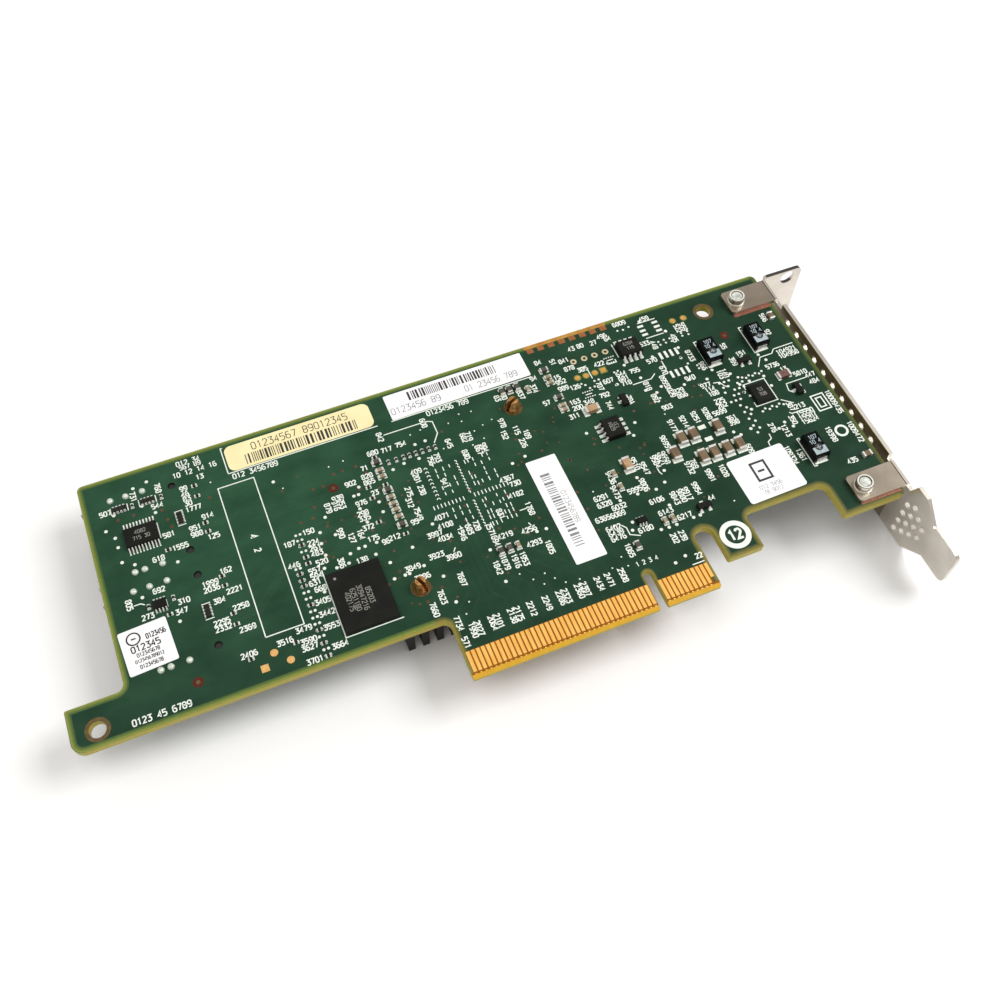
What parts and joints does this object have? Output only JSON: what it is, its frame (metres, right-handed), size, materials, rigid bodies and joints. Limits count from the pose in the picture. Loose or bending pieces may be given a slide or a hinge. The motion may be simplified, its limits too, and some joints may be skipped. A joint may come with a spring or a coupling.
{
  "type": "raid controller card",
  "caption": "Low profile expansion card with a gold edge connector, vented slot bracket, two drive ports and a pin fin heatsink, solder side up.",
  "frame": {"origin": "solder face of the board, on the centre line of the key notch, at the tip of the connector tongue", "axes": "+X along the card towards the slot bracket, +Y from the connector tongue to the top edge, +Z out of the solder face, away from the heatsink"},
  "size_m": [0.1791, 0.0812, 0.0184],
  "materials": {
    "board": "green solder mask, satin",
    "gold": "gold plated",
    "copper": "bare copper",
    "bracket_steel": "satin nickel plated",
    "screw_steel": "bright zinc plated",
    "substrate": "matte",
    "silicon": "polished",
    "thermal_pad": "soft",
    "heatsink_black": "black anodised",
    "brass": "bare brass",
    "spring_steel": "bright",
    "port_metal": "bright plated",
    "port_plastic": "moulded",
    "solder": "reflowed tin",
    "chip_black": "moulded epoxy",
    "tinned_leads": "tin plated",
    "tantalum_case": "moulded epoxy",
    "brown_ceramic": "satin",
    "tan_ceramic": "satin",
    "ferrite": "matte",
    "pink_ceramic": "satin",
    "resistor_black": "glassy",
    "cream_paper": "satin paper",
    "white_paper": "satin paper",
    "inductor_grey": "pressed powder",
    "crystal_can": "bright",
    "light_lens": "clear"
  },
  "bodies": {
    "root": {"activity_light": "light_lens", "activity_light_ends": "tinned_leads", "address_label": "cream_paper", "assembly_label": "white_paper", "backup_memory_chip": "chip_black", "bracket": "bracket_steel", "bracket_pads": "copper", "bracket_screws": "screw_steel", "circuit_board": "board", "clock_crystal": "crystal_can", "controller_die": "silicon", "controller_substrate": "substrate", "corner_label": "white_paper", "driver_chip": "chip_black", "driver_chip_leads": "tinned_leads", "edge_contacts": "gold", "eight_lead_chip_leads": "tinned_leads", "eight_lead_chips": "chip_black", "ferrite_beads": "ferrite", "flash_memory_chip": "chip_black", "heatsink": "heatsink_black", "heatsink_push_pins": "brass", "large_brown_capacitors": "brown_ceramic", "large_capacitor_ends": "tinned_leads", "large_tan_capacitors": "tan_ceramic", "lower_port_contacts": "gold", "lower_port_insulator": "port_plastic", "lower_port_shell": "port_metal", "polymer_capacitor_straps": "tinned_leads", "polymer_capacitors": "tantalum_case", "port_solder_joints": "solder", "power_inductors": "inductor_grey", "power_transistor_leads": "tinned_leads", "power_transistors": "chip_black", "push_pin_springs": "spring_steel", "regulator_chip": "chip_black", "resistor_array_ends": "tinned_leads", "resistor_arrays": "resistor_black", "shunt_resistor": "pink_ceramic", "shunt_resistor_ends": "tinned_leads", "small_capacitors": "tan_ceramic", "small_logic_chip_leads": "tinned_leads", "small_logic_chips": "chip_black", "small_part_ends": "tinned_leads", "square_label": "white_paper", "tantalum_capacitor_straps": "tinned_leads", "tantalum_capacitors": "tantalum_case", "thermal_pad": "thermal_pad", "tiny_resistor_ends": "tinned_leads", "tiny_resistors": "resistor_black", "tracking_label": "white_paper", "transistor_leads": "tinned_leads", "transistors": "chip_black", "upper_port_contacts": "gold", "upper_port_insulator": "port_plastic", "upper_port_shell": "port_metal"}
  },
  "joints": []
}
